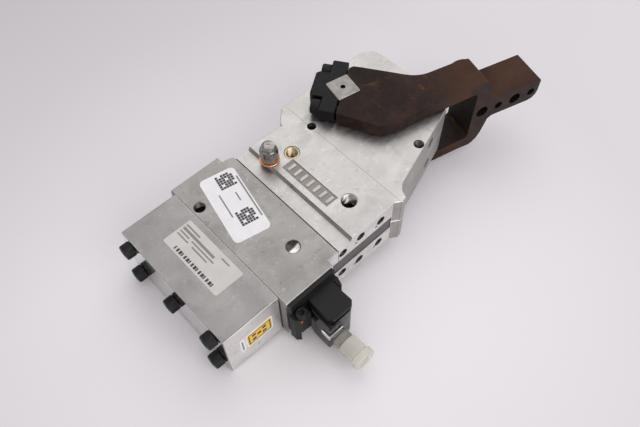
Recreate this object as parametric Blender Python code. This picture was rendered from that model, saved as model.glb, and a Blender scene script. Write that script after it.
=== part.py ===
"""Enclosed toggle-lever power clamp with a forked centre arm.

Frame: metres. Origin on the underside of the body, on the cylinder axis in plan,
+X from the cylinder towards the lever head, +Z up through the flat body.
"""
import math

import bmesh
import bpy
from mathutils import Matrix, Vector

GAP = 0.0003

# Body heights and widths
BODY_TOP = 0.0550
STEP_TOP = 0.0510
SPLIT_Z = 0.0275
REAR_X0 = -0.1450
REAR_X1 = -0.0944
REAR_HALF_Y = 0.0615
FRONT_X0 = -0.0941
FRONT_X1 = -0.0360
HOUSING_X0 = -0.0357

# Cylinder bore and piston
BORE_X0 = -0.1360
BORE_X1 = -0.0465
BORE_HALF_Y = 0.0460
BORE_HALF_Z = 0.0200
PISTON_X0 = -0.1251
PISTON_X1 = -0.1121
ROD_R = 0.0090
CLEVIS_X = 0.0056

# Lever shaft and toggle linkage
SHAFT_X = 0.0701
SHAFT_Y = 0.0420
JOURNAL_R = 0.0155
SQUARE_HALF = 0.0110
SQUARE_ANGLE = math.radians(-11.6)
CRANK_R = 0.0360
CRANK_ANGLE = math.radians(-136.7)
LINK_LENGTH = 0.0420
LINK_ANGLE = math.radians(24.3)

# Fork arm
TONGUE_ANGLE = math.radians(-16.7)
CLAMP_ANGLE = math.radians(-56.6)
TINE_TOP = (0.0565, 0.0690)
TINE_LOW = (-0.0146, -0.0021)

# Cylinder screws (y, z) and their sizes
REAR_SCREWS = [(0.0495, 0.0468), (-0.0495, 0.0468), (0.0495, 0.0095), (-0.0495, 0.0095)]
M8_HEAD_R = 0.00635
M8_HEAD_H = 0.0079
M8_SHANK_R = 0.0040
M8_HEX_R = 0.0035
M8_THREAD_R = 0.0031
M8_GRIP = 0.0504

# Sensor slot in the right wall
SLOT_X0 = -0.0430
SLOT_X1 = 0.0230
SLOT_Z0 = 0.0195
SLOT_Z1 = 0.0350
RIGHT_Y = -0.0627

# Sensor cassette on the right side of the front block
BODY_SIDE_Y = -0.0684
LID_Z0 = 0.0378
SENSOR_SCREW = (-0.0865, -0.0765)
PLUG_AXIS = (-0.0697, 0.0100)

COLORS = {
    "cast": ((0.62, 0.61, 0.59), 0.42, 0.9),
    "cast_dark": ((0.50, 0.49, 0.48), 0.36, 0.9),
    "black_oxide": ((0.035, 0.035, 0.04), 0.38, 0.7),
    "plastic": ((0.03, 0.03, 0.035), 0.5, 0.0),
    "smoke": ((0.16, 0.16, 0.15), 0.3, 0.0),
    "cream": ((0.72, 0.68, 0.55), 0.45, 0.0),
    "rust": ((0.16, 0.09, 0.055), 0.62, 0.55),
    "steel": ((0.66, 0.66, 0.67), 0.28, 1.0),
    "nickel": ((0.74, 0.73, 0.70), 0.22, 1.0),
    "copper": ((0.80, 0.42, 0.24), 0.25, 1.0),
    "brass": ((0.76, 0.58, 0.26), 0.3, 1.0),
    "rubber": ((0.05, 0.05, 0.05), 0.8, 0.0),
    "bronze": ((0.55, 0.38, 0.18), 0.4, 1.0),
}


def clear_scene():
    for obj in list(bpy.data.objects):
        bpy.data.objects.remove(obj, do_unlink=True)


def material(name, kind):
    color, roughness, metallic = COLORS[kind]
    mat = bpy.data.materials.new(name)
    mat.use_nodes = True
    shader = mat.node_tree.nodes["Principled BSDF"]
    shader.inputs["Base Color"].default_value = (*color, 1.0)
    shader.inputs["Roughness"].default_value = roughness
    shader.inputs["Metallic"].default_value = metallic
    return mat


def new_object(name, bm):
    bmesh.ops.remove_doubles(bm, verts=bm.verts, dist=1e-7)
    bmesh.ops.recalc_face_normals(bm, faces=bm.faces)
    mesh = bpy.data.meshes.new(name)
    bm.to_mesh(mesh)
    bm.free()
    obj = bpy.data.objects.new(name, mesh)
    bpy.context.scene.collection.objects.link(obj)
    return obj


def rounded(points, steps=5):
    """Polygon corners given as (a, b, radius) become short arcs."""
    out = []
    count = len(points)
    for i, point in enumerate(points):
        if len(point) == 2:
            out.append((point[0], point[1]))
            continue
        before = points[i - 1]
        after = points[(i + 1) % count]
        here = Vector((point[0], point[1], 0))
        a = (Vector((before[0], before[1], 0)) - here).normalized()
        b = (Vector((after[0], after[1], 0)) - here).normalized()
        half = a.angle(b) / 2
        centre = here + (a + b).normalized() * (point[2] / math.sin(half))
        start = here + a * (point[2] / math.tan(half)) - centre
        end = here + b * (point[2] / math.tan(half)) - centre
        turn = start.angle(end)
        if start.cross(end).z < 0:
            turn = -turn
        for k in range(steps + 1):
            spoke = Matrix.Rotation(turn * k / steps, 3, "Z") @ start
            out.append((centre.x + spoke.x, centre.y + spoke.y))
    return out


def place(a, b, c, axis):
    if axis == "Z":
        return (a, b, c)
    if axis == "Y":
        return (a, c, b)
    return (c, a, b)


def prism(name, points, low, high, axis="Z", bevel=0.0):
    """Extrude a polygon along an axis: (x, y) for Z, (x, z) for Y, (y, z) for X."""
    bm = bmesh.new()
    bottom = [bm.verts.new(place(a, b, low, axis)) for a, b in points]
    top = [bm.verts.new(place(a, b, high, axis)) for a, b in points]
    bm.faces.new(bottom)
    bm.faces.new(top)
    count = len(points)
    for i in range(count):
        j = (i + 1) % count
        bm.faces.new((bottom[i], bottom[j], top[j], top[i]))
    bmesh.ops.recalc_face_normals(bm, faces=bm.faces)
    if bevel:
        rim = [e for e in bm.edges if (e.verts[0] in bottom) == (e.verts[1] in bottom)]
        bmesh.ops.bevel(bm, geom=rim, offset=bevel, segments=1, affect="EDGES", profile=0.5)
    return new_object(name, bm)


def box(name, low, high, bevel=0.0):
    points = [(low[0], low[1]), (high[0], low[1]), (high[0], high[1]), (low[0], high[1])]
    return prism(name, points, low[2], high[2], "Z", bevel)


def ring(a, b, radius, segments, phase=0.0):
    step = 2 * math.pi / segments
    return [(a + radius * math.cos(phase + step * i), b + radius * math.sin(phase + step * i))
            for i in range(segments)]


def cylinder(name, centre, radius, low, high, axis="Z", segments=32, bevel=0.0):
    return prism(name, ring(centre[0], centre[1], radius, segments), low, high, axis, bevel)


def stadium(half_width, half_height, centre, inset=0.0, segments=12):
    """Oblong outline whose round ends sit left and right of the centre."""
    radius = half_height - inset
    reach = half_width - half_height
    points = []
    for side, start in ((1, -math.pi / 2), (-1, math.pi / 2)):
        for i in range(segments + 1):
            angle = start + math.pi * i / segments
            points.append((centre[0] + side * reach + radius * math.cos(angle),
                           centre[1] + radius * math.sin(angle)))
    return points


def boolean(obj, tool, operation):
    modifier = obj.modifiers.new("cut", "BOOLEAN")
    modifier.operation = operation
    modifier.solver = "EXACT"
    modifier.object = tool
    graph = bpy.context.evaluated_depsgraph_get()
    mesh = bpy.data.meshes.new_from_object(obj.evaluated_get(graph))
    obj.modifiers.clear()
    old = obj.data
    obj.data = mesh
    bpy.data.meshes.remove(old)
    bpy.data.objects.remove(tool, do_unlink=True)
    return obj


def cut(obj, *tools):
    for tool in tools:
        boolean(obj, tool, "DIFFERENCE")
    return obj


def join(obj, *tools):
    for tool in tools:
        boolean(obj, tool, "UNION")
    return obj


def move_origin(obj, x, y, z):
    obj.data.transform(Matrix.Translation((-x, -y, -z)))
    obj.location = (x, y, z)


def finish(obj, kind, smooth=True):
    """Clean the mesh, shade it by angle and give it its own material."""
    bm = bmesh.new()
    bm.from_mesh(obj.data)
    bmesh.ops.remove_doubles(bm, verts=bm.verts, dist=1e-7)
    bmesh.ops.dissolve_degenerate(bm, edges=bm.edges, dist=1e-7)
    bmesh.ops.recalc_face_normals(bm, faces=bm.faces)
    bm.to_mesh(obj.data)
    bm.free()
    if smooth:
        for face in obj.data.polygons:
            face.use_smooth = True
        obj.data.set_sharp_from_angle(angle=math.radians(32))
    obj.data.name = obj.name
    obj.data.materials.clear()
    obj.data.materials.append(material(obj.name, kind))
    return obj


def drill(x, y, radius, low, high, segments=24):
    return cylinder("drill", (x, y), radius, low, high, "Z", segments)


# ---------------------------------------------------------------- cylinder

def rear_cylinder_block():
    outline = rounded([(-REAR_HALF_Y, 0.0, 0.0012), (REAR_HALF_Y, 0.0, 0.0012),
                       (REAR_HALF_Y, BODY_TOP, 0.0012), (-REAR_HALF_Y, BODY_TOP, 0.0012)], 2)
    block = prism("rear_cylinder_block", outline, REAR_X0, REAR_X1, "X", 0.0005)
    bore = prism("bore", stadium(BORE_HALF_Y, BORE_HALF_Z, (0, SPLIT_Z)), BORE_X0, REAR_X1 + 0.01, "X")
    cut(block, bore)
    for y, z in REAR_SCREWS:
        cut(block, cylinder("hole", (y, z), M8_SHANK_R + GAP, REAR_X0 - 0.01, REAR_X1 + 0.01, "X", 20))
    cut(block, cylinder("hole", (0.0, 0.0285), M8_SHANK_R + GAP, REAR_X0 - 0.01, REAR_X0 + 0.0070, "X", 20))
    return finish(block, "cast_dark")


def front_cylinder_block():
    outline = [(FRONT_X0, BODY_SIDE_Y), (-0.0470, BODY_SIDE_Y), (-0.0470, RIGHT_Y), (FRONT_X1, RIGHT_Y),
               (FRONT_X1, 0.0580), (-0.0374, 0.0610), (-0.0415, 0.0626), (-0.0466, 0.0634),
               (-0.0466, 0.0693), (FRONT_X0, 0.0693)]
    block = prism("front_cylinder_block", outline, 0.0, STEP_TOP, "Z", 0.0006)
    bore = prism("bore", stadium(BORE_HALF_Y, BORE_HALF_Z, (0, SPLIT_Z)), FRONT_X0 - 0.01, BORE_X1, "X")
    gland = cylinder("gland", (0, SPLIT_Z), 0.0128, BORE_X1 - 0.01, FRONT_X1 + 0.01, "X", 32)
    cut(block, bore, gland)
    for y, z in REAR_SCREWS:
        cut(block, cylinder("hole", (y, z), M8_THREAD_R + GAP, FRONT_X0 - 0.01, -0.0690, "X", 20))
    slot = box("slot", (SLOT_X0, -0.0750, SLOT_Z0), (FRONT_X1 + 0.01, -0.0520, SLOT_Z1))
    cut(block, slot)
    # Two blind holes in the top
    cut(block, drill(-0.0870, 0.0405, 0.0040, 0.0470, 0.0600))
    cut(block, drill(-0.0575, -0.0359, 0.0060, 0.0482, 0.0600))
    return finish(block, "cast")


def lathe(name, profile, axis, centre, segments):
    """Turn (radius, height) points about an axis; both ends close on the axis."""
    bm = bmesh.new()
    rings = []
    for radius, height in profile:
        circle = ring(centre[0], centre[1], radius, segments)
        loop = [bm.verts.new(place(a, b, height, axis)) for a, b in circle]
        rings.append(loop)
    for low, high in zip(rings, rings[1:]):
        for i in range(segments):
            j = (i + 1) % segments
            bm.faces.new((low[i], low[j], high[j], high[i]))
    bm.faces.new(rings[0])
    bm.faces.new(rings[-1])
    return new_object(name, bm)


def cap_screw(name, low, length, axis, centre, head_r=M8_HEAD_R, head_h=M8_HEAD_H,
              shank_r=M8_SHANK_R, hex_r=M8_HEX_R, grip=0.0, thread_r=0.0):
    """Socket head screw; low is the face under its head and the shank runs the positive way."""
    head_far = low - head_h
    tip = low + length
    thread = [(thread_r, tip), (thread_r, low + grip), (shank_r, low + grip)] if grip else [(shank_r, tip)]
    profile = thread + [(shank_r, low), (head_r, low), (head_r, head_far + 0.0006),
                        (head_r - 0.0006, head_far), (hex_r * 1.2, head_far)]
    screw = lathe(name, profile, axis, centre, 24)
    socket = prism("socket", ring(centre[0], centre[1], hex_r * 1.1547, 6), head_far - 0.001,
                   head_far + 0.6 * head_h, axis)
    return cut(screw, socket)


def tube(name, centre, outer, inner, low, high, axis="Z", segments=32):
    body = cylinder(name, centre, outer, low, high, axis, segments)
    return cut(body, cylinder("core", centre, inner, low - 0.01, high + 0.01, axis, segments))


def cylinder_screws():
    for index, (y, z) in enumerate(REAR_SCREWS, 1):
        screw = cap_screw("cylinder_screw_%d" % index, REAR_X0 - GAP, 0.0740, "X", (y, z),
                          grip=M8_GRIP, thread_r=M8_THREAD_R)
        finish(screw, "black_oxide")
    screw = cap_screw("cylinder_screw_5", REAR_X0 - GAP, 0.0062, "X", (0.0, 0.0285))
    finish(screw, "black_oxide")


def piston_group():
    centre = (0, SPLIT_Z)
    piston = prism("piston", stadium(BORE_HALF_Y, BORE_HALF_Z, centre, 0.0004), PISTON_X0, PISTON_X1, "X")
    mid = (PISTON_X0 + PISTON_X1) / 2
    groove = prism("groove", stadium(0.0480, 0.0220, centre), mid - 0.0022, mid + 0.0022, "X")
    cut(groove, prism("core", stadium(BORE_HALF_Y, BORE_HALF_Z, centre, 0.0032), mid - 0.01, mid + 0.01, "X"))
    cut(piston, groove, cylinder("spigot", centre, 0.0053, PISTON_X1 - 0.0090, PISTON_X1 + 0.01, "X", 24))
    finish(piston, "steel")
    edge = stadium(BORE_HALF_Y, BORE_HALF_Z, centre, 0.00025)
    seal = prism("piston_seal", edge, mid - 0.0019, mid + 0.0019, "X")
    cut(seal, prism("core", stadium(BORE_HALF_Y, BORE_HALF_Z, centre, 0.0029), mid - 0.01, mid + 0.01, "X"))
    finish(seal, "rubber")
    rod_low = PISTON_X1 + GAP
    rod_high = CLEVIS_X - 0.0171
    rod = lathe("piston_rod", [(0.0050, PISTON_X1 - 0.0086), (0.0050, rod_low), (ROD_R, rod_low),
                               (ROD_R, rod_high), (0.0050, rod_high), (0.0050, rod_high + 0.0066)],
                "X", centre, 32)
    finish(rod, "steel")
    rear = prism("rear_bumper", stadium(0.0400, 0.0160, centre), BORE_X0 + GAP, BORE_X0 + 0.0028, "X")
    finish(rear, "rubber")
    front = prism("front_bumper", stadium(0.0400, 0.0160, centre), BORE_X1 - 0.0028, BORE_X1 - GAP, "X")
    cut(front, cylinder("core", centre, 0.0130, BORE_X1 - 0.01, BORE_X1 + 0.01, "X", 32))
    finish(front, "rubber")
    finish(tube("rod_seal", centre, 0.0125, 0.0093, -0.0462, -0.0420, "X"), "rubber")
    finish(tube("rod_bushing", centre, 0.0125, 0.0093, -0.0417, -0.0363, "X"), "bronze")


# ---------------------------------------------------------------- linkage

def clevis_group():
    clevis = box("rod_clevis", (CLEVIS_X - 0.0168, -0.0100, 0.0175), (CLEVIS_X + 0.0100, 0.0100, 0.0375),
                 0.0008)
    slot = box("slot", (CLEVIS_X - 0.0096, -0.0200, 0.0227), (CLEVIS_X + 0.0200, 0.0200, 0.0323))
    cut(clevis, slot, drill(CLEVIS_X, 0.0, 0.0043, 0.0, 0.06))
    cut(clevis, cylinder("thread", (0, SPLIT_Z), 0.0053, CLEVIS_X - 0.03, CLEVIS_X - 0.0090, "X", 24))
    finish(clevis, "steel")
    finish(cylinder("clevis_pin", (CLEVIS_X, 0.0), 0.0040, 0.0178, 0.0372, "Z", 24), "steel")
    tip = (CLEVIS_X + LINK_LENGTH * math.cos(LINK_ANGLE), LINK_LENGTH * math.sin(LINK_ANGLE))
    outline = []
    for end, start in ((tip, LINK_ANGLE - math.pi / 2), ((CLEVIS_X, 0.0), LINK_ANGLE + math.pi / 2)):
        for i in range(13):
            angle = start + math.pi * i / 12
            outline.append((end[0] + 0.0080 * math.cos(angle), end[1] + 0.0080 * math.sin(angle)))
    link = prism("toggle_link", outline, 0.0230, 0.0320, "Z", 0.0005)
    cut(link, drill(CLEVIS_X, 0.0, 0.0043, 0.0, 0.06), drill(tip[0], tip[1], 0.0053, 0.0, 0.06))
    move_origin(finish(link, "steel"), CLEVIS_X, 0.0, SPLIT_Z)


def square_outline(half, corner):
    turn = Matrix.Rotation(SQUARE_ANGLE, 2)
    corners = []
    for a, b in rounded([(-half, -half, corner), (half, -half, corner), (half, half, corner),
                         (-half, half, corner)], 2):
        point = turn @ Vector((a, b))
        corners.append((SHAFT_X + point.x, SHAFT_Y + point.y))
    return corners


def crank_tip():
    return (SHAFT_X + CRANK_R * math.cos(CRANK_ANGLE), SHAFT_Y + CRANK_R * math.sin(CRANK_ANGLE))


def crank_cheek(low, high):
    outline = []
    spread = math.asin((0.0180 - 0.0090) / CRANK_R)
    half = math.pi / 2
    for end, radius, start, sweep in (((SHAFT_X, SHAFT_Y), 0.0180, half - spread, math.pi + 2 * spread),
                                      (crank_tip(), 0.0090, spread - half, math.pi - 2 * spread)):
        for i in range(17):
            angle = CRANK_ANGLE + start + sweep * i / 16
            outline.append((end[0] + radius * math.cos(angle), end[1] + radius * math.sin(angle)))
    cheek = prism("cheek", outline, low, high)
    return cut(cheek, drill(*crank_tip(), 0.0053, low - 0.01, high + 0.01))


def crank_shaft():
    centre = (SHAFT_X, SHAFT_Y)
    shaft = lathe("crank_shaft", [(JOURNAL_R, -0.0006), (JOURNAL_R, 0.0135), (0.0125, 0.0135),
                                  (0.0125, 0.0415), (JOURNAL_R, 0.0415), (JOURNAL_R, 0.0556)],
                  "Z", centre, 48)
    join(shaft, crank_cheek(0.0110, 0.0160), crank_cheek(0.0390, 0.0440))
    for low, high in ((-0.0140, 0.0020), (0.0530, 0.0696)):
        join(shaft, prism("square", square_outline(SQUARE_HALF, 0.0010), low, high, "Z", 0.0006))
    cut(shaft, drill(SHAFT_X, SHAFT_Y, 0.0022, 0.0600, 0.0800, 16))
    cut(shaft, drill(SHAFT_X, SHAFT_Y, 0.0022, -0.0300, -0.0060, 16))
    move_origin(finish(shaft, "steel"), SHAFT_X, SHAFT_Y, SPLIT_Z)
    for name, low, high in (("crank_pin_upper", 0.0330, 0.0437), ("crank_pin_lower", 0.0113, 0.0220)):
        pin = cylinder(name, crank_tip(), 0.0050, low, high, "Z", 24)
        move_origin(finish(pin, "steel"), SHAFT_X, SHAFT_Y, SPLIT_Z)


# ---------------------------------------------------------------- housing

def housing_outline():
    return [(HOUSING_X0, RIGHT_Y), (0.0235, RIGHT_Y)] + rounded([
        (0.0290, -0.0669, 0.0010), (0.0347, -0.0660, 0.0015), (0.0372, -0.0595, 0.0020),
        (0.0416, -0.0554, 0.0040), (0.1262, -0.0274, 0.0030), (0.1326, -0.0215, 0.0020),
        (0.1326, 0.0702, 0.0135), (0.0279, 0.0702, 0.0010), (0.0238, 0.0694, 0.0010),
        (0.0120, 0.0578, 0.0040)], 4) + [(HOUSING_X0, 0.0578)]


CAVITY = [(-0.0420, -0.0140), (0.0770, -0.0140), (0.1050, 0.0020), (0.1130, 0.0160), (0.1130, 0.0400),
          (0.0950, 0.0610), (0.0450, 0.0610), (0.0270, 0.0400), (0.0100, 0.0240), (-0.0120, 0.0140),
          (-0.0420, 0.0140)]
SIDE_HOLES = [(-0.0310, 0.0430), (-0.0120, 0.0455), (0.0100, 0.0440)]
SLANT_HOLE_ALONG = 0.0590
SHELL_SCREWS = [(-0.0250, -0.0430), (-0.0250, 0.0480), (0.0500, -0.0420), (0.1220, 0.0600)]
DOWELS = [(0.0020, -0.0360), (0.1220, 0.0020)]


def slant_drill(z, radius, depth):
    """Blind hole square to the slanted right wall."""
    start = Vector((0.0416, -0.0554, 0))
    along = (Vector((0.1262, -0.0274, 0)) - start).normalized()
    inward = Vector((-along.y, along.x, 0))
    foot = start + along * SLANT_HOLE_ALONG
    tool = cylinder("drill", (0.0, 0.0), radius, -0.01, depth, "Z", 20)
    basis = Matrix((along, Vector((0, 0, -1)), inward)).transposed().to_4x4()
    tool.data.transform(Matrix.Translation((foot.x, foot.y, z)) @ basis)
    return tool


def shell_common(shell, low, high):
    cut(shell, prism("cavity", CAVITY, low, high))
    slot = box("slot", (HOUSING_X0 - 0.01, -0.0750, SLOT_Z0), (SLOT_X1, -0.0520, SLOT_Z1))
    cut(shell, slot)


def upper_shell():
    shell = prism("upper_housing_shell", housing_outline(), SPLIT_Z + GAP / 2, BODY_TOP, "Z", 0.0006)
    ramp = prism("ramp", [(-0.0500, STEP_TOP), (-0.0232, STEP_TOP), (-0.0212, BODY_TOP + 0.0010),
                          (-0.0212, BODY_TOP + 0.01), (-0.0500, BODY_TOP + 0.01)], -0.1, 0.1, "Y")
    cut(shell, ramp)
    shell_common(shell, SPLIT_Z - 0.01, 0.0470)
    cut(shell, cylinder("seat", (SHAFT_X, SHAFT_Y), 0.0188, 0.0400, 0.0700, "Z", 48))
    recess = box("recess", (-0.0166, -0.0295, BODY_TOP - 0.0006), (-0.0044, 0.0229, BODY_TOP + 0.01))
    cut(shell, recess)
    for x, y, radius, depth in ((-0.0185, 0.0355, 0.0051, 0.0130), (-0.0007, 0.0284, 0.0068, 0.0130),
                                (0.0000, -0.0372, 0.0070, 0.0160), (0.0804, -0.0371, 0.0045, 0.0160),
                                (0.0297, 0.0376, 0.0040, 0.0060)):
        cut(shell, drill(x, y, radius, BODY_TOP - depth, BODY_TOP + 0.01))
    for x, z in SIDE_HOLES:
        cut(shell, cylinder("hole", (x, z), 0.0042, -0.0800, RIGHT_Y + 0.0120, "Y", 20))
    cut(shell, slant_drill(0.0415, 0.0045, 0.0120))
    for x, y in SHELL_SCREWS:
        cut(shell, drill(x, y, 0.0033, 0.0, SPLIT_Z + 0.0140, 16))
    for x, y in DOWELS:
        cut(shell, drill(x, y, 0.0033, 0.0, SPLIT_Z + 0.0070, 16))
    return finish(shell, "cast")


def lower_shell():
    shell = prism("lower_housing_shell", housing_outline(), 0.0, SPLIT_Z - GAP / 2, "Z", 0.0006)
    shell_common(shell, 0.0080, SPLIT_Z + 0.01)
    cut(shell, cylinder("seat", (SHAFT_X, SHAFT_Y), 0.0188, -0.0100, 0.0200, "Z", 48))
    for x, z in SIDE_HOLES:
        cut(shell, cylinder("hole", (x, 0.0550 - z), 0.0042, -0.0800, RIGHT_Y + 0.0120, "Y", 20))
    cut(shell, slant_drill(0.0135, 0.0045, 0.0120))
    for x, y in SHELL_SCREWS:
        cut(shell, drill(x, y, 0.0033, -0.01, 0.04, 16))
        cut(shell, drill(x, y, 0.0056, -0.01, 0.0068, 20))
    for x, y in DOWELS:
        cut(shell, drill(x, y, 0.0033, SPLIT_Z - 0.0070, 0.04, 16))
    return finish(shell, "cast")


def shell_hardware():
    for index, (x, y) in enumerate(SHELL_SCREWS, 1):
        screw = cap_screw("shell_screw_%d" % index, 0.0065, 0.0330, "Z", (x, y), 0.0050, 0.0060, 0.0030,
                          0.0025)
        finish(screw, "black_oxide")
    for index, (x, y) in enumerate(DOWELS, 1):
        pin = cylinder("dowel_pin_%d" % index, (x, y), 0.0030, SPLIT_Z - 0.0066, SPLIT_Z + 0.0066, "Z", 16)
        finish(pin, "steel")
    centre = (SHAFT_X, SHAFT_Y)
    finish(tube("upper_shaft_bushing", centre, 0.0185, JOURNAL_R + GAP, 0.0473, 0.0546, "Z", 48), "bronze")
    finish(tube("lower_shaft_bushing", centre, 0.0185, JOURNAL_R + GAP, 0.0004, 0.0077, "Z", 48), "bronze")


def port_parts():
    centre = (-0.0185, 0.0355)
    washer = tube("copper_washer", centre, 0.0084, 0.0053, BODY_TOP + GAP, BODY_TOP + 0.0018, "Z", 32)
    finish(washer, "copper")
    low = BODY_TOP + 0.0021
    plug = prism("hex_port_plug", ring(centre[0], centre[1], 0.0076, 6, 0.35), low, low + 0.0145)
    dome = lathe("dome", [(0.0064, low + 0.0130), (0.0064, low + 0.0150), (0.0055, low + 0.0163),
                          (0.0032, low + 0.0168)], "Z", centre, 24)
    join(plug, dome, cylinder("stem", centre, 0.0048, BODY_TOP - 0.0125, low + 0.0020, "Z", 24))
    finish(plug, "nickel")
    insert = tube("port_insert", (-0.0007, 0.0284), 0.0065, 0.0046, BODY_TOP - 0.0120, BODY_TOP - 0.0004)
    finish(insert, "brass")


# ---------------------------------------------------------------- sensor cassette

def sensor_head():
    """Black cassette head: thin flange on the body, foot with a screw seat, and the lid of the plug box."""
    head = prism("sensor_head", rounded([
        (-0.0765, -0.0705), (-0.0485, -0.0705), (-0.0480, -0.0745), (-0.0500, -0.0808, 0.0015),
        (-0.0535, -0.0843, 0.0010), (-0.0532, -0.0946, 0.0015), (-0.0565, -0.0980, 0.0020),
        (-0.0740, -0.0976, 0.0020), (-0.0772, -0.0936, 0.0020)], 3), LID_Z0, 0.0430, "Z", 0.0006)
    plate = prism("plate", [(-0.0918, 0.0030), (-0.0485, 0.0030), (-0.0485, 0.0500), (-0.0918, 0.0500)],
                  -0.0718, BODY_SIDE_Y - GAP, "Y")
    foot = prism("foot", rounded([
        (-0.0935, -0.0707), (-0.0935, -0.0765, 0.0010), (-0.0900, -0.0798, 0.0015),
        (-0.0800, -0.0803, 0.0010), (-0.0800, -0.0707)], 3), 0.0008, 0.0370, "Z", 0.0006)
    join(head, plate, foot)
    cut(head, cylinder("hole", SENSOR_SCREW, 0.0028, 0.0150, 0.0500, "Z", 16))
    cut(head, box("slit", (-0.0531, -0.0820, 0.0405), (-0.0523, -0.0750, 0.0500)))
    return finish(head, "plastic")


def plug_box():
    """Smoky plug housing under the lid, with its metal corner clip."""
    cover = prism("sensor_cover", rounded([
        (-0.0545, -0.0735), (-0.0545, -0.0955, 0.0020), (-0.0570, -0.0985, 0.0025),
        (-0.0765, -0.0985, 0.0025), (-0.0792, -0.0955, 0.0025), (-0.0792, -0.0815), (-0.0770, -0.0735)], 3),
        -0.0008, LID_Z0 - GAP, "Z", 0.0008)
    finish(cover, "smoke")
    clip = prism("sensor_clip", [
        (-0.0796, -0.0915), (-0.0796, -0.0965), (-0.0773, -0.0989), (-0.0670, -0.0989), (-0.0670, -0.1001),
        (-0.0779, -0.1001), (-0.0808, -0.0971), (-0.0808, -0.0915)], 0.0200, 0.0250, "Z", 0.0002)
    finish(clip, "steel")


def plug_parts():
    body = lathe("m12_connector", [(0.0066, -0.0988), (0.0074, -0.0994), (0.0074, -0.1068),
                                   (0.0058, -0.1068), (0.0058, -0.1160)], "Y", PLUG_AXIS, 32)
    finish(body, "smoke")
    cap = lathe("connector_cap", [(0.0080, -0.1072), (0.0083, -0.1080), (0.0083, -0.1208), (0.0097, -0.1214),
                                  (0.0097, -0.1258), (0.0088, -0.1268)], "Y", PLUG_AXIS, 32)
    cut(cap, cylinder("bore", PLUG_AXIS, 0.0061, -0.1163, -0.1000, "Y", 32))
    finish(cap, "cream")


def sensor_parts():
    strip = box("sensor_strip", (SLOT_X0 + GAP, -0.0621, SLOT_Z0 + GAP),
                (SLOT_X1 - GAP, -0.0523, SLOT_Z1 - GAP), 0.0004)
    finish(strip, "plastic")
    sensor_head()
    screw = cap_screw("sensor_screw", 0.0, 0.0160, "Z", (SENSOR_SCREW[0], -SENSOR_SCREW[1]), 0.0043, 0.0050,
                      0.0025, 0.0020)
    screw.data.transform(Matrix.Translation((0, 0, 0.0373)) @ Matrix.Rotation(math.pi, 4, "X"))
    finish(screw, "black_oxide")
    plug_box()
    plug_parts()


# ---------------------------------------------------------------- fork arm

def clamp_point(u, v):
    """Point from the arm root frame: u along the root, v across it."""
    ax, ay = math.cos(CLAMP_ANGLE), math.sin(CLAMP_ANGLE)
    return (SHAFT_X + u * ax - v * ay, SHAFT_Y + u * ay + v * ax)


def tongue_point(s, w):
    """Point from the tongue frame: s along the tongue, w across it."""
    ax, ay = math.cos(TONGUE_ANGLE), math.sin(TONGUE_ANGLE)
    return (SHAFT_X + s * ax - w * ay, SHAFT_Y + s * ay + w * ax)


def arm_outline():
    root = [(0.0008, 0.0152), (0.0008, 0.0230), (0.0034, 0.0257), (0.0110, 0.0261)]
    tongue = [(0.0629, -0.0187, 0.0300), (0.0960, -0.0186), (0.1010, -0.0176), (0.1110, -0.0168),
              (0.1160, -0.0155), (0.1210, -0.0149), (0.1900, -0.0149), (0.1900, -0.0502), (0.0973, -0.0502),
              (0.0087, -0.0537, 0.0140)]
    back = [(0.0008, -0.0296), (0.0008, -0.0152), (0.0160, 0.0)]
    corners = [clamp_point(u, v) for u, v in root]
    corners += [tongue_point(*point[:2]) + point[2:] for point in tongue]
    return rounded(corners + [clamp_point(u, v) for u, v in back], 8)


def arm_side_profile():
    low, under = TINE_LOW
    over, top = TINE_TOP
    return [(-0.060, top), (0.1100, top), (0.1140, 0.0672), (0.1178, 0.0620), (0.1208, 0.0550),
            (0.1230, 0.0470), (0.1250, 0.0430), (0.1285, 0.0410), (0.1760, 0.0410), (0.1770, 0.0400),
            (0.1770, 0.0265), (0.1757, 0.0218), (0.1725, 0.0187), (0.1680, 0.0175), (0.1285, 0.0175),
            (0.1245, 0.0150), (0.1225, 0.0070), (0.1200, -0.0020), (0.1168, -0.0090), (0.1135, -0.0125),
            (0.1100, low), (-0.060, low),
            (-0.060, under), (0.1025, under), (0.1046, under + 0.0009), (0.1055, under + 0.0030),
            (0.1055, over - 0.0030), (0.1046, over - 0.0009), (0.1025, over), (-0.060, over)]


def turned_prism(name, profile, low, high):
    """Side profile (s, z) of the arm extruded across the tongue direction."""
    obj = prism(name, profile, low, high, "Y")
    turn = Matrix.Rotation(TONGUE_ANGLE, 4, "Z")
    obj.data.transform(Matrix.Translation((SHAFT_X, SHAFT_Y, 0)) @ turn)
    return obj


def cross_drill(s, z, radius):
    return turned_prism("drill", ring(s, z, radius, 24), -0.07, 0.01)


def screw_tool(v, z, radius, low, high, segments=20):
    """Cylinder along the arm root direction, from u = low to u = high."""
    obj = cylinder("drill", (v, z), radius, low, high, "X", segments)
    turn = Matrix.Rotation(CLAMP_ANGLE, 4, "Z")
    obj.data.transform(Matrix.Translation((SHAFT_X, SHAFT_Y, 0)) @ turn)
    return obj


def fork_arm():
    arm = prism("fork_arm", arm_outline(), -0.0400, 0.0900)
    boolean(arm, turned_prism("side", arm_side_profile(), -0.0800, 0.0600), "INTERSECT")
    for s, radius in ((0.1157, 0.0060), (0.1333, 0.0039), (0.1510, 0.0058), (0.1689, 0.0039)):
        cut(arm, cross_drill(s, 0.0285, radius))
    for low, high in (TINE_TOP, TINE_LOW):
        for v in (-0.0208, 0.0208):
            cut(arm, screw_tool(v, (low + high) / 2, M8_SHANK_R + GAP, -0.010, 0.0262))
    move_origin(finish(arm, "rust"), SHAFT_X, SHAFT_Y, SPLIT_Z)


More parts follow.
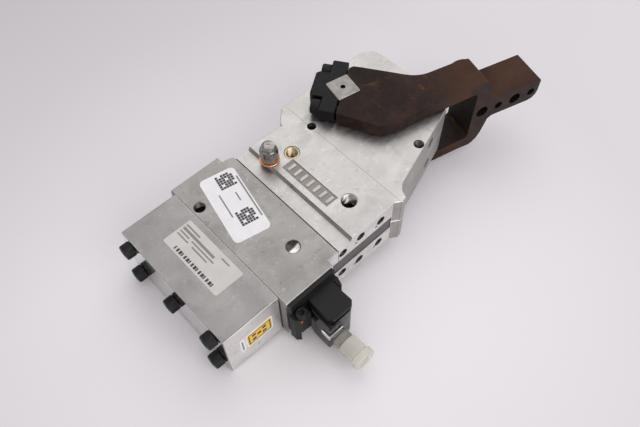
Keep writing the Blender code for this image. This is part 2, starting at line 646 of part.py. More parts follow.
def cap_outline():
    return [(-0.0008, 0.0295), (-0.0135, 0.0295), (-0.0145, 0.0285), (-0.0145, 0.0141), (-0.0230, 0.0141),
            (-0.0258, 0.0118), (-0.0258, -0.0118), (-0.0230, -0.0141), (-0.0145, -0.0141),
            (-0.0145, -0.0285), (-0.0135, -0.0295), (-0.0008, -0.0295), (-0.0008, -0.0152),
            (-0.0160, 0.0), (-0.0008, 0.0152)]


def clamp_caps():
    index = 1
    for name, (low, high) in (("upper_clamp_cap", TINE_TOP), ("lower_clamp_cap", TINE_LOW)):
        cap = prism(name, [clamp_point(u, v) for u, v in cap_outline()], low, high, "Z", 0.0004)
        middle = (low + high) / 2
        for v in (-0.0208, 0.0208):
            cut(cap, screw_tool(v, middle, M8_SHANK_R + GAP, -0.030, 0.010))
            screw = cap_screw("cap_screw_%d" % index, -0.0148, 0.0405, "X", (v, middle))
            turn = Matrix.Rotation(CLAMP_ANGLE, 4, "Z")
            screw.data.transform(Matrix.Translation((SHAFT_X, SHAFT_Y, 0)) @ turn)
            move_origin(finish(screw, "black_oxide"), SHAFT_X, SHAFT_Y, SPLIT_Z)
            index += 1
        move_origin(finish(cap, "black_oxide"), SHAFT_X, SHAFT_Y, SPLIT_Z)


clear_scene()
rear_cylinder_block()
front_cylinder_block()
cylinder_screws()
piston_group()
clevis_group()
crank_shaft()
upper_shell()
lower_shell()
shell_hardware()
port_parts()
sensor_parts()
fork_arm()
clamp_caps()
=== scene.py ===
"""Looks of the enclosed power clamp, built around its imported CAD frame.

Everything is in metres in the part frame: +X from the cylinder to the lever head, +Z up.
"""
import math

import bmesh
import bpy
from mathutils import Matrix, Vector


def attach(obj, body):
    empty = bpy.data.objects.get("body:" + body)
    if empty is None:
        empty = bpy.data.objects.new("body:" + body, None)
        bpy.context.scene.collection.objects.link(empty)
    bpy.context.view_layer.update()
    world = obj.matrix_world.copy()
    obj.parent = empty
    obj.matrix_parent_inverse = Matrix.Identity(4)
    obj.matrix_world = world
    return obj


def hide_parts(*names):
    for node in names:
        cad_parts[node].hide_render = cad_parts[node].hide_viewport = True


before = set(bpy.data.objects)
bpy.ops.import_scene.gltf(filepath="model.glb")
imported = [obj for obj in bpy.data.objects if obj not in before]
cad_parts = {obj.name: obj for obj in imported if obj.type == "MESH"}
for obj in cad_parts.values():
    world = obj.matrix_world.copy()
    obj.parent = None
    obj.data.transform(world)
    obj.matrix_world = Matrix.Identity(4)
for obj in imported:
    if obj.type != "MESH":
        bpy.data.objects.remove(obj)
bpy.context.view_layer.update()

BODY = "clamp_body"
ARM = "arm"
UP = (0, 0, 1)
DOWN = (0, 0, -1)
INWARD = (0, 1, 0)

# Camera: its place, the axes of its view and its focal length in millimetres
CAMERA_AT = (-0.2070, -0.2329, 0.4827)
CAMERA_RIGHT = (0.72916, -0.68423, -0.01286)
CAMERA_DOWN = (-0.58212, -0.61024, -0.53736)
CAMERA_FORWARD = (0.35983, 0.39931, -0.84326)
CAMERA_LENS = 37.2
CAMERA_SENSOR = 36.0
CAMERA_RANGE = (0.01, 20.0)

# Light: area lights as (name, place, size, watts), all aimed at one point, and the sky
LIGHTS = [("key", (1.05, 0.90, 1.70), 2.2, 15.0), ("fill", (-0.10, -1.80, 1.20), 2.0, 26.0)]
LIGHT_TARGET = (0.0, 0.0, 0.02)
SKY_COLOR = (0.872, 0.852, 0.868, 1.0)
SKY_STRENGTH = 0.80

# Floor plane: the object leans on its rear cylinder edge and its lower clamp cap
FLOOR_X = -0.1450
FLOOR_SLOPE = -0.0800
FLOOR_DROP = 0.0004
FLOOR_HALF = 3.0

# Floor tones, painted light and shade: a painted pool of light near the object, painted shade away from
# it (over a distance) and behind it (along a direction)
FLOOR_NEAR = (0.81, 0.783, 0.806)
FLOOR_EDGE = (0.64, 0.620, 0.636)
FLOOR_BACK = (0.49, 0.475, 0.492)
FLOOR_SPREAD = (0.05, 0.30)
FLOOR_FADE = ((-0.10, 0.995, 0.0), 0.10, 0.50)

# Body sizes shared with the CAD model
BODY_TOP = 0.0550
STEP_TOP = 0.0510
REAR_FACE = -0.1453
REAR_SIDE_Y = -0.0615
RIGHT_Y = -0.0627
SEAM_X = (-0.0950, -0.0933)
SEAM_DEPTH = 0.0015
TAPPED_HOLE = (-0.0870, 0.0405, STEP_TOP)

# Housing: where the lever head starts, the groove across the top, the label recess (x0, x1, y0, y1)
HEAD_X = 0.0240
LINE_X = (0.0284, 0.0286)
LINE_DEPTH = 0.00025
RECESS = (-0.0167, -0.0043, -0.0296, 0.0230)
RECESS_DEPTH = 0.0006

# Arm: shaft centre, directions, cross holes as (distance from the shaft, radius)
SHAFT_X = 0.0701
SHAFT_Y = 0.0420
ARM_MIDDLE_Z = 0.0285
CLAMP_ANGLE = math.radians(-56.6)
TONGUE_ANGLE = math.radians(-16.7)
TONGUE_WAY = (math.cos(TONGUE_ANGLE), math.sin(TONGUE_ANGLE), 0.0)
TONGUE_ACROSS = (-math.sin(TONGUE_ANGLE), math.cos(TONGUE_ANGLE), 0.0)
CROSS_HOLES = [(0.1157, 0.0060), (0.1333, 0.0039), (0.1510, 0.0058), (0.1689, 0.0039)]
FORK_GAP = (0.010, 0.046)

# Arm, along the tongue from the shaft: where its tone changes and where the web's soft corners are
WEB_SPAN = (0.118, 0.156)
TONGUE_SPAN = (0.168, 0.182)
WEB_CORNERS = (0.1070, 0.1290)

# Arm, across the tongue: the milled flank lies below the first, the soft corners above the second
MILLED_BELOW = -0.045
SOFT_ABOVE = -0.025

# Screws: heads as (radius, height, half the socket's width across flats), and places
M8_HEAD = (0.00635, 0.0079, 0.0030)
M6_HEAD = (0.0050, 0.0060, 0.0025)
M5_HEAD = (0.0043, 0.0050, 0.0020)
REAR_SCREWS = [(0.0495, 0.0468), (-0.0495, 0.0468), (0.0495, 0.0095), (-0.0495, 0.0095)]
REAR_MIDDLE_SCREW = (0.0, 0.0285)
SHELL_SCREWS = [(-0.0250, -0.0430), (-0.0250, 0.0480), (0.0500, -0.0420), (0.1220, 0.0600)]
SHELL_SCREW_Z = 0.0065
SENSOR_SCREW = (-0.0865, -0.0765, 0.0373)
CAP_SCREW_Z = (0.06275, -0.00835)
CAP_SCREW_SIDES = (-0.0208, 0.0208)
CAP_SCREW_BACK = -0.0148

# Holes in the side walls as (x, z) of the upper half; the lower half mirrors them, the small
# ones PIN_DROP lower
SIDE_HOLES = [(-0.0310, 0.0430), (-0.0120, 0.0455), (0.0100, 0.0440)]
SIDE_HOLE_R = 0.0042
PIN_HOLES = [(-0.0364, 0.0418), (-0.0168, 0.0412), (0.0052, 0.0402)]
PIN_R = 0.0012
PIN_DEPTH = 0.0040
PIN_DROP = 0.0060

# Port fittings as (x, y), and the axis of the sensor's plug as (x, z)
PORT = (-0.0185, 0.0355)
INSERT = (-0.0007, 0.0284)
PLUG_TURN = 0.35
PLUG_BASE = BODY_TOP + 0.0021
PLUG_AXIS = (-0.0697, 0.0100)

# Labels: fields as (x0, x1, y0, y1) on top and (x0, x1, z0, z1) on the side
PLATE = (-0.1262, -0.1002, -0.0302, 0.0338)
SIDE_LABEL = (-0.1276, -0.1024, 0.0166, 0.0368)
SIDE_FIELD = (-0.1264, -0.1036, 0.0182, 0.0352)
SMALL_LABEL = (-0.1330, -0.1286, 0.0166, 0.0368)
WHITE_LABEL = [(-0.0736, 0.0600), (-0.0878, -0.0050), (-0.0571, -0.0116), (-0.0430, 0.0538)]
PRINT_THICK = 0.00002

# Sensor outlines in the ground plane
CLIP_OUTLINE = [(-0.0796, -0.0915), (-0.0796, -0.0989), (-0.0670, -0.0989), (-0.0670, -0.1001),
                (-0.0808, -0.1001), (-0.0808, -0.0915)]
COVER_OUTLINE = [(-0.0545, -0.0735), (-0.0545, -0.0938), (-0.0552, -0.0958), (-0.0570, -0.0980),
                 (-0.0590, -0.0985), (-0.0785, -0.0985), (-0.0791, -0.0983), (-0.0793, -0.0977),
                 (-0.0792, -0.0815), (-0.0770, -0.0735)]

# Mesh work: merge distance, largest turn of a flat face, smallest turn of a corner, edge rounding,
# and how far a normal must point along an axis for its face to count as facing that way
WELD = 2e-5
FLAT = math.radians(0.6)
CORNER = math.radians(28.0)
EDGE = 0.0003
FACING = 0.9


# ---------------------------------------------------------------- materials

class Graph:
    """Wires the shader nodes of one material."""

    def __init__(self, name, roughness, metallic, **constants):
        self.material = bpy.data.materials.new(name)
        self.material.use_nodes = True
        self.tree = self.material.node_tree
        self.shader = self.tree.nodes["Principled BSDF"]
        self.shader.inputs["Roughness"].default_value = roughness
        self.shader.inputs["Metallic"].default_value = metallic
        for socket, value in constants.items():
            self.shader.inputs[socket.replace("_", " ")].default_value = value
        self.coords = self.tree.nodes.new("ShaderNodeTexCoord").outputs["Object"]
        self.height = None

    def wire(self, source, target):
        self.tree.links.new(source, target)

    def noise(self, scale, detail=4.0, stretch=(1, 1, 1), distortion=0.0):
        """Noise value with its features 1/scale metres across, drawn out by stretch."""
        mapping = self.tree.nodes.new("ShaderNodeMapping")
        mapping.inputs["Scale"].default_value = stretch
        self.wire(self.coords, mapping.inputs["Vector"])
        noise = self.tree.nodes.new("ShaderNodeTexNoise")
        noise.inputs["Scale"].default_value = scale
        noise.inputs["Detail"].default_value = detail
        noise.inputs["Distortion"].default_value = distortion
        self.wire(mapping.outputs["Vector"], noise.inputs["Vector"])
        return noise.outputs["Fac"]

    def span(self, value, low, high, start=0.3, end=0.7):
        """Map a noise value onto the range low to high."""
        node = self.tree.nodes.new("ShaderNodeMapRange")
        for socket, number in (("From Min", start), ("From Max", end), ("To Min", low), ("To Max", high)):
            node.inputs[socket].default_value = number
        self.wire(value, node.inputs["Value"])
        return node.outputs["Result"]

    def ramp(self, value, *stops):
        """Colour ramp with (position, colour) stops."""
        node = self.tree.nodes.new("ShaderNodeValToRGB")
        ramp = node.color_ramp
        while len(ramp.elements) < len(stops):
            ramp.elements.new(0.5)
        for element, (position, color) in zip(ramp.elements, stops):
            element.position = position
            element.color = (*color, 1.0)
        self.wire(value, node.inputs["Fac"])
        return node.outputs["Color"]

    def mix(self, factor, first, second):
        """Blend two colours; either may be a socket or an RGB tuple."""
        node = self.tree.nodes.new("ShaderNodeMix")
        node.data_type = "RGBA"
        self.wire(factor, node.inputs[0])
        for socket, value in ((node.inputs[6], first), (node.inputs[7], second)):
            if isinstance(value, tuple):
                socket.default_value = (*value, 1.0)
            else:
                self.wire(value, socket)
        return node.outputs[2]

    def along(self, direction, start, end, low=0.0, high=1.0):
        """Ramp in space: low up to start metres along direction, high from end on."""
        node = self.tree.nodes.new("ShaderNodeVectorMath")
        node.operation = "DOT_PRODUCT"
        node.inputs[1].default_value = direction
        self.wire(self.coords, node.inputs[0])
        return self.span(node.outputs["Value"], low, high, start, end)

    def around(self, near, far):
        """Ramp in space: 0 up to near metres from the origin, 1 from far on."""
        node = self.tree.nodes.new("ShaderNodeVectorMath")
        node.operation = "LENGTH"
        self.wire(self.coords, node.inputs[0])
        return self.span(node.outputs["Value"], 0.0, 1.0, near, far)

    def color(self, source):
        self.wire(source, self.shader.inputs["Base Color"])

    def roughness(self, source):
        self.wire(source, self.shader.inputs["Roughness"])

    def bump(self, value, depth):
        """Add a height, depth metres deep, to the surface normal."""
        node = self.tree.nodes.new("ShaderNodeBump")
        node.inputs["Strength"].default_value = 1.0
        node.inputs["Distance"].default_value = depth
        self.wire(value, node.inputs["Height"])
        if self.height is not None:
            self.wire(self.height, node.inputs["Normal"])
        self.height = node.outputs["Normal"]
        self.wire(self.height, self.shader.inputs["Normal"])


def scaled(color, factor):
    """Colour made lighter or darker, never above white."""
    return tuple(min(1.0, channel * factor) for channel in color)


def worked_metal(name, dark, light, rough, streak=(1, 1, 1), grain=2.0e-5, blotch=35, wear=0.0):
    """Metal with soft blotches, brushed streaks and a fine grain; wear adds bright and dull flecks."""
    graph = Graph(name, rough[0], 1.0)
    patches = graph.noise(blotch, 5.0, distortion=0.4)
    streaks = graph.noise(520, 4.0, streak)
    tone = graph.ramp(patches, (0.30, dark), (0.68, light))
    tone = graph.mix(graph.span(streaks, 0.0, 0.45), tone, scaled(light, 1.10))
    smudges = graph.noise(30, 8.0, distortion=0.8)
    tone = graph.mix(graph.span(smudges, 0.0, 0.50, 0.55, 0.78), tone, scaled(dark, 0.66))
    if wear:
        flecks = graph.noise(260, 3.0, distortion=1.0)
        tone = graph.mix(graph.span(flecks, 0.0, wear, 0.62, 0.72), tone, scaled(light, 1.45))
        tone = graph.mix(graph.span(flecks, wear, 0.0, 0.28, 0.38), tone, scaled(dark, 0.60))
    graph.color(tone)
    graph.roughness(graph.span(streaks, rough[0], rough[1]))
    graph.bump(streaks, grain)
    graph.bump(graph.noise(2600, 3.0), grain * 0.5)
    return graph.material


def black_metal(name, base, rough):
    """Blackened steel with faint brown wear and a fine tooth."""
    graph = Graph(name, rough, 0.2, Specular_IOR_Level=0.22)
    patches = graph.noise(160, 5.0)
    graph.color(graph.ramp(patches, (0.35, base), (0.75, scaled(base, 1.9))))
    graph.roughness(graph.span(graph.noise(420, 4.0), rough - 0.06, rough + 0.10))
    graph.bump(graph.noise(1500, 3.0), 2.5e-5)
    return graph.material


def forged_metal():
    """Dark brown forged steel, redder and lighter over the web and tongue, with orange rust flecks."""
    graph = Graph("forged", 0.6, 0.0, Specular_IOR_Level=0.12)
    broad = graph.noise(14, 4.0, distortion=0.5)
    mid = graph.noise(95, 6.0)
    fine = graph.noise(750, 5.0)
    root = graph.ramp(broad, (0.34, (0.012, 0.0072, 0.0064)), (0.52, (0.020, 0.0118, 0.0098)),
                      (0.70, (0.036, 0.0200, 0.0150)))
    web = graph.ramp(broad, (0.34, (0.036, 0.0158, 0.0088)), (0.52, (0.056, 0.0245, 0.0130)),
                     (0.70, (0.088, 0.0385, 0.0195)))
    tongue = graph.ramp(broad, (0.34, (0.022, 0.0105, 0.0066)), (0.52, (0.034, 0.0165, 0.0102)),
                        (0.70, (0.058, 0.0275, 0.0158)))
    base = graph.mix(graph.along(TONGUE_WAY, *WEB_SPAN), root, web)
    base = graph.mix(graph.along(TONGUE_WAY, *TONGUE_SPAN), base, tongue)
    worn = graph.mix(graph.span(mid, 0.0, 0.50, 0.45, 0.75), base, (0.060, 0.033, 0.023))
    rust = graph.mix(graph.span(fine, 0.0, 0.8, 0.62, 0.76), worn, (0.12, 0.045, 0.018))
    spots = graph.noise(38, 4.0, distortion=1.2)
    graph.color(graph.mix(graph.span(spots, 0.0, 0.50, 0.64, 0.76), rust, (0.24, 0.080, 0.024)))
    graph.roughness(graph.span(mid, 0.52, 0.72))
    graph.bump(broad, 0.0006)
    graph.bump(mid, 0.00016)
    graph.bump(fine, 0.00005)
    return graph.material


def machined_brown():
    """Milled faces of the arm: greyer and smoother than the forged skin."""
    graph = Graph("machined_brown", 0.42, 0.05, Specular_IOR_Level=0.09)
    mid = graph.noise(120, 5.0)
    lines = graph.noise(420, 4.0, (0.15, 0.15, 1.6))
    tone = graph.ramp(mid, (0.32, (0.016, 0.0092, 0.0074)), (0.70, (0.033, 0.0200, 0.0160)))
    graph.color(graph.mix(graph.span(lines, 0.0, 0.35), tone, (0.056, 0.036, 0.029)))
    graph.roughness(graph.span(lines, 0.36, 0.52))
    graph.bump(lines, 0.00004)
    return graph.material


def moulded(name, base, rough, tooth=1.6e-5, **constants):
    """Moulded plastic with a fine spark-eroded texture."""
    graph = Graph(name, rough, 0.0, **constants)
    cloudy = graph.noise(90, 3.0)
    graph.color(graph.ramp(cloudy, (0.3, base), (0.7, scaled(base, 1.25))))
    graph.roughness(graph.span(graph.noise(900, 2.0), rough - 0.05, rough + 0.08))
    graph.bump(graph.noise(2200, 2.0), tooth)
    return graph.material


def clear_plastic(name, low, high, rough, clear, gloss=0.5):
    """See-through plastic, tinted low at its foot and high above, a little cloudy."""
    graph = Graph(name, rough, 0.0, Transmission_Weight=clear, IOR=1.40, Specular_IOR_Level=gloss)
    tint = graph.mix(graph.along((0.0, 0.0, 1.0), 0.0050, 0.0130), low, high)
    veil = tuple(min(1.0, c * 1.3 + 0.01) for c in high)
    graph.color(graph.mix(graph.span(graph.noise(110, 4.0), 0.0, 0.35), tint, veil))
    graph.roughness(graph.span(graph.noise(60, 3.0), rough, rough + 0.06))
    return graph.material


def drilled_metal():
    """Floor of a drilled hole: painted shade on its half towards +Y, bright with turning marks on the
    other.
    """
    graph = Graph("cone", 0.24, 1.0)
    marks = graph.noise(900, 3.0, distortion=0.6)
    bright = graph.ramp(marks, (0.35, (0.46, 0.425, 0.39)), (0.70, (0.80, 0.77, 0.73)))
    dark = graph.ramp(marks, (0.35, (0.030, 0.026, 0.022)), (0.70, (0.105, 0.094, 0.082)))
    # Painted shade: the floor's half towards +Y takes the dark tone.
    graph.color(graph.mix(graph.along((-0.113, 0.994, 0.0), -0.0304, -0.0288), bright, dark))
    graph.roughness(graph.span(marks, 0.18, 0.30))
    graph.bump(marks, 3e-5)
    return graph.material


def printed(name, base, rough=0.45):
    """Label film: nearly even colour with a faint handling haze."""
    graph = Graph(name, rough, 0.0, Specular_IOR_Level=0.4)
    haze = graph.noise(120, 4.0)
    graph.color(graph.ramp(haze, (0.35, scaled(base, 0.94)), (0.65, base)))
    graph.bump(graph.noise(700, 2.0), 6e-6)
    return graph.material


def floor_material():
    """Pale seamless paper with painted light: lighter near the object, painted shade away from it and
    most so behind it.
    """
    graph = Graph("paper", 0.80, 0.0, Specular_IOR_Level=0.15)
    level = graph.mix(graph.around(*FLOOR_SPREAD), FLOOR_NEAR, FLOOR_EDGE)
    graph.color(graph.mix(graph.along(*FLOOR_FADE), level, FLOOR_BACK))
    graph.bump(graph.noise(500, 2.0), 1e-5)
    return graph.material


# Castings and machined blocks
CAST = worked_metal("cast", (0.37, 0.357, 0.345), (0.49, 0.476, 0.463), (0.34, 0.48),
                    streak=(0.25, 1, 1), wear=0.35)
CAST_EDGE = worked_metal("cast_edge", (0.52, 0.51, 0.50), (0.64, 0.63, 0.62), (0.30, 0.42), blotch=120)
CAST_FLOOR = worked_metal("cast_recess", (0.20, 0.186, 0.170), (0.29, 0.272, 0.250), (0.50, 0.62),
                          grain=6e-5)
# Painted shade: a darker copy of the cast look for the housing's walls other than the milled side; the
# name pads use it too.
FLANK = worked_metal("flank", (0.32, 0.300, 0.290), (0.45, 0.425, 0.410), (0.36, 0.48), blotch=60)
FRONT = worked_metal("front", (0.195, 0.187, 0.180), (0.31, 0.299, 0.288), (0.30, 0.44),
                     streak=(0.12, 1, 1), wear=0.45)
FRONT_EDGE = worked_metal("front_edge", (0.30, 0.29, 0.28), (0.42, 0.41, 0.40), (0.34, 0.46), blotch=120)
REAR = worked_metal("rear", (0.195, 0.187, 0.182), (0.285, 0.275, 0.269), (0.26, 0.38),
                    streak=(0.12, 1, 1), wear=0.30)
MILLED = worked_metal("milled", (0.66, 0.64, 0.62), (0.84, 0.82, 0.80), (0.30, 0.42),
                      streak=(0.1, 1, 1), wear=0.55)
MIRROR = worked_metal("rear_face", (0.56, 0.545, 0.54), (0.72, 0.705, 0.70), (0.10, 0.17), grain=4e-6)

# Holes, with painted shade: a near-black metal darkens hole walls and floors, the thread steel is
# darkened, partly painted shade, and the cone floor is dark on one half
THREAD = worked_metal("thread", (0.26, 0.25, 0.235), (0.42, 0.40, 0.38), (0.16, 0.26), blotch=200)
PAINTED_SHADE_BORE = worked_metal("bore", (0.040, 0.037, 0.034), (0.115, 0.107, 0.100), (0.26, 0.38), blotch=200)
CONE = drilled_metal()

# Fittings
STEEL = worked_metal("steel", (0.36, 0.345, 0.335), (0.50, 0.485, 0.475), (0.26, 0.40),
                     streak=(1, 0.2, 1), blotch=90)
SHAFT = worked_metal("shaft", (0.16, 0.150, 0.142), (0.27, 0.255, 0.245), (0.30, 0.42), blotch=160)
NICKEL = worked_metal("nickel", (0.10, 0.092, 0.086), (0.38, 0.36, 0.343), (0.08, 0.15), blotch=200)
CHROME = worked_metal("chrome", (0.80, 0.81, 0.82), (0.90, 0.91, 0.92), (0.06, 0.12),
                      blotch=200, grain=4e-6)
COPPER = worked_metal("copper", (0.60, 0.27, 0.14), (0.80, 0.42, 0.24), (0.24, 0.38), blotch=260)
BRASS = worked_metal("brass", (0.34, 0.26, 0.16), (0.56, 0.45, 0.30), (0.20, 0.32), blotch=240)
BRONZE = worked_metal("bronze", (0.40, 0.26, 0.12), (0.56, 0.38, 0.19), (0.34, 0.46), blotch=150)
# Black oxide on the screws; on the floors of the rear and side holes and on the walls of the arm's cross
# holes the same black is painted shade.
BLACK = black_metal("black_oxide", (0.008, 0.008, 0.0085), 0.36)

# Arm and clamp caps
FORGED = forged_metal()
FORGED_EDGE = black_metal("forged_edge", (0.038, 0.0215, 0.0150), 0.46)
# Painted shade: a dark brown for the faces inside the fork, where shade falls.
SHADE_BROWN = black_metal("painted_shade_brown", (0.0130, 0.0082, 0.0070), 0.60)
MACHINED = machined_brown()
CAP_BLACK = black_metal("cap_black", (0.0035, 0.0036, 0.0039), 0.50)

# Plastics
PLASTIC = moulded("plastic", (0.0085, 0.0085, 0.009), 0.50, Specular_IOR_Level=0.22)
STRIP = moulded("strip", (0.060, 0.056, 0.062), 0.46)
RUBBER = moulded("rubber", (0.020, 0.020, 0.020), 0.75)
ORANGE = moulded("orange_mark", (0.55, 0.11, 0.02), 0.5)
SMOKE = clear_plastic("smoke", (0.045, 0.042, 0.036), (0.008, 0.0075, 0.0065), 0.16, 0.20, 0.10)
PALE_SMOKE = clear_plastic("pale_smoke", (0.50, 0.475, 0.425), (0.44, 0.42, 0.37), 0.12, 0.70)
CREAM = clear_plastic("cream", (0.74, 0.705, 0.63), (0.80, 0.765, 0.695), 0.20, 0.55)

# Labels
WHITE_FILM = printed("white_film", (0.74, 0.73, 0.74))
SILVER_FILM = printed("silver_film", (0.53, 0.515, 0.49))
YELLOW_FILM = printed("yellow_film", (0.75, 0.46, 0.045))
INK = printed("ink", (0.035, 0.034, 0.036))
GREY_INK = printed("grey_ink", (0.21, 0.205, 0.20))
FRAME_INK = printed("frame_ink", (0.022, 0.021, 0.020))

# Inner CAD nodes that aren't steel; every other node gets the steel look
INNER_LOOKS = {
    "piston_seal": RUBBER, "rod_seal": RUBBER, "rear_bumper": RUBBER, "front_bumper": RUBBER,
    "upper_shaft_bushing": BRONZE, "lower_shaft_bushing": BRONZE, "rod_bushing": BRONZE, "piston": REAR,
}


# ---------------------------------------------------------------- pieces

def settle(obj, body, slot, *nodes):
    """Put a finished piece on its body, in place of CAD nodes; slot is not used."""
    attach(obj, body)
    if nodes:
        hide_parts(*nodes)
    return obj


def make_object(name, bm, materials, sharp=32.0, weighted=False):
    """Smooth shaded object from a bmesh, sharp where it turns by more than sharp degrees."""
    mesh = bpy.data.meshes.new(name)
    bmesh.ops.recalc_face_normals(bm, faces=bm.faces)
    for face in bm.faces:
        face.smooth = True
    bm.to_mesh(mesh)
    bm.free()
    for item in materials:
        mesh.materials.append(item)
    obj = bpy.data.objects.new(name, mesh)
    bpy.context.scene.collection.objects.link(obj)
    mesh.set_sharp_from_angle(angle=math.radians(sharp))
    if weighted:
        modifier = obj.modifiers.new("flat faces", "WEIGHTED_NORMAL")
        modifier.keep_sharp = True
        modifier.weight = 80
    return obj


def cut(obj, *tools):
    """Take the tool objects out of obj and remove them."""
    for tool in tools:
        modifier = obj.modifiers.new("cut", "BOOLEAN")
        modifier.operation = "DIFFERENCE"
        modifier.solver = "EXACT"
        modifier.object = tool
        graph = bpy.context.evaluated_depsgraph_get()
        mesh = bpy.data.meshes.new_from_object(obj.evaluated_get(graph))
        obj.modifiers.clear()
        obj.data = mesh
        bpy.data.objects.remove(tool, do_unlink=True)
    return obj


def tool_box(low, high):
    """Box to cut with, between two corners."""
    bm = bmesh.new()
    bmesh.ops.create_cube(bm, size=1.0)
    for vert in bm.verts:
        vert.co = Vector([(a + b) / 2 + c * (b - a) for a, b, c in zip(low, high, vert.co)])
    return make_object("tool", bm, [])


def tool_drill(mouth, direction, radius, depth, segments):
    """Round tool to cut with, reaching depth to both sides of the hole's mouth."""
    bm = bmesh.new()
    turn = Vector(direction).to_track_quat("Z", "Y").to_matrix().to_4x4()
    bmesh.ops.create_cone(bm, cap_ends=True, segments=segments, radius1=radius, radius2=radius,
                          depth=2 * depth, matrix=Matrix.Translation(mouth) @ turn)
    return make_object("tool", bm, [])


def cad_mesh(node, tools):
    """CAD shape less the tool objects, with its triangles merged into clean faces."""
    bm = bmesh.new()
    bm.from_mesh(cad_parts[node].data)
    bmesh.ops.remove_doubles(bm, verts=bm.verts, dist=WELD)
    if tools:
        blank = make_object("blank", bm, [])
        cut(blank, *tools)
        bm = bmesh.new()
        bm.from_mesh(blank.data)
        bpy.data.objects.remove(blank, do_unlink=True)
        bmesh.ops.remove_doubles(bm, verts=bm.verts, dist=WELD)
    bmesh.ops.dissolve_limit(bm, angle_limit=FLAT, verts=bm.verts, edges=bm.edges)
    return bm


def corner_edges(bm, wanted=None):
    """Edges where two faces meet at a corner; wanted(middle) may pick some of them."""
    edges = [e for e in bm.edges if len(e.link_faces) == 2 and e.calc_face_angle() > CORNER]
    if wanted:
        edges = [e for e in edges if wanted((e.verts[0].co + e.verts[1].co) / 2)]
    return edges


def refine(node, body, slot, materials, width, paint=None, tools=(), segments=2, soft=None,
           soft_width=0.0):
    """CAD shape with clean faces and rounded edges, in place of its node.

    materials[1] goes on the rounded edges; paint(face) gives the material of a face;
    the edges that soft(middle) picks are first rounded by soft_width.
    """
    bm = cad_mesh(node, tools)
    for face in bm.faces:
        face.material_index = materials.index(paint(face)) if paint else 0
    if soft:
        bmesh.ops.bevel(bm, geom=corner_edges(bm, soft), offset=soft_width, offset_type="OFFSET",
                        segments=5, profile=0.5, affect="EDGES", clamp_overlap=False, material=-1)
    bmesh.ops.bevel(bm, geom=corner_edges(bm), offset=width, offset_type="OFFSET", segments=segments,
                    profile=0.6, affect="EDGES", clamp_overlap=True, material=min(1, len(materials) - 1))
    obj = make_object(node + ".shape", bm, materials, 40.0, weighted=True)
    return settle(obj, body, slot, node)


def spin(name, rings, segments, matrix, material, closed=False, sharp=32.0):
    """Skin over rings round the local Z axis; a ring is (radius or function of angle, height)."""
    bm = bmesh.new()
    loops = []
    for radius, height in rings:
        loop = []
        for i in range(segments):
            angle = 2 * math.pi * i / segments
            reach = radius(i, angle) if callable(radius) else radius
            point = Vector((reach * math.cos(angle), reach * math.sin(angle), height))
            loop.append(bm.verts.new(matrix @ point))
        loops.append(loop)
    pairs = list(zip(loops, loops[1:]))
    if closed:
        pairs.append((loops[-1], loops[0]))
    for low, high in pairs:
        for i in range(segments):
            j = (i + 1) % segments
            bm.faces.new((low[i], low[j], high[j], high[i]))
    if not closed:
        bm.faces.new(loops[0])
        bm.faces.new(loops[-1])
    return make_object(name, bm, [material], sharp)


def hexagon(half_flats, phase=0.0):
    """Radius of a hexagon as a function of point number and angle."""
    sixth = math.pi / 3
    return lambda i, angle: half_flats / math.cos(((angle - phase) % sixth) - sixth / 2)


def aim(origin, direction):
    """Matrix that takes local Z to direction, placed at origin."""
    z = Vector(direction).normalized()
    x = Vector(UP).cross(z)
    if x.length < 1e-6:
        x = Vector((1, 0, 0))
    x.normalize()
    y = z.cross(x)
    return Matrix.Translation(origin) @ Matrix((x, y, z)).transposed().to_4x4()


def socket_screw(node, body, matrix, head, shank_r, length):
    """Knurled socket head screw; local z = 0 is the face under its head, the shank runs along z."""
    head_r, head_h, half_flats = head
    ridge = 0.035 * head_r

    def knurl(i, angle):
        return head_r - (ridge if i % 2 else 0.0)

    top = -head_h
    rings = [(shank_r * 0.80, length), (shank_r, length - 0.0008), (shank_r, 0.0), (head_r * 0.93, 0.0),
             (knurl, -0.05 * head_h), (knurl, top + 0.15 * head_h), (head_r * 0.94, top + 0.04 * head_h),
             (head_r * 0.87, top), (half_flats * 1.30, top), (half_flats * 1.20, top + 0.02 * head_h),
             (hexagon(half_flats), top + 0.09 * head_h), (hexagon(half_flats), top + 0.55 * head_h),
             (half_flats * 0.25, top + 0.68 * head_h)]
    obj = spin(node + ".shape", rings, 72, matrix, BLACK, sharp=25.0)
    return settle(obj, body, "black_oxide", node)


def thread(name, matrix, radius, depth, material, pitch=0.00125, steps=5):
    """Threaded lining of a hole: local z runs down into it from its mouth."""
    tooth = 0.30 * pitch
    clear = 0.00012
    chamfer = 0.0004

    def flank(height):
        return lambda i, angle: radius - clear - tooth + tooth * math.cos(
            2 * math.pi * height / pitch - angle)

    count = int(depth / pitch * steps)
    heights = [chamfer + (depth - chamfer) * k / count for k in range(count + 1)]
    rings = [(radius - 0.00004, heights[-1]), (radius - 0.00004, chamfer)]
    rings += [(flank(height), height) for height in heights]
    return settle(spin(name, rings, 36, matrix, material, closed=True, sharp=60.0), BODY, "steel")


def disc(name, matrix, radius, height, cone, material):
    """Bottom of a hole, local z down, hollowed to a drill point cone deep."""
    thick = 0.0006
    rings = [(radius, height + thick + cone), (radius, height + 0.0001), (radius * 0.96, height),
             (radius * 0.05, height + cone)]
    return settle(spin(name, rings, 36, matrix, material), BODY, "steel")


def lining(name, mouth, way, radius, depth, wall, bottom, cone=0.0):
    """Threaded wall of a hole and its bottom: a flat one inside the thread or a cone under it."""
    matrix = aim(mouth, way)
    thread(name, matrix, radius, depth, wall)
    start = depth if cone else depth - 0.0012
    disc(name + "_floor", matrix, radius - 0.0003, start, cone, bottom)


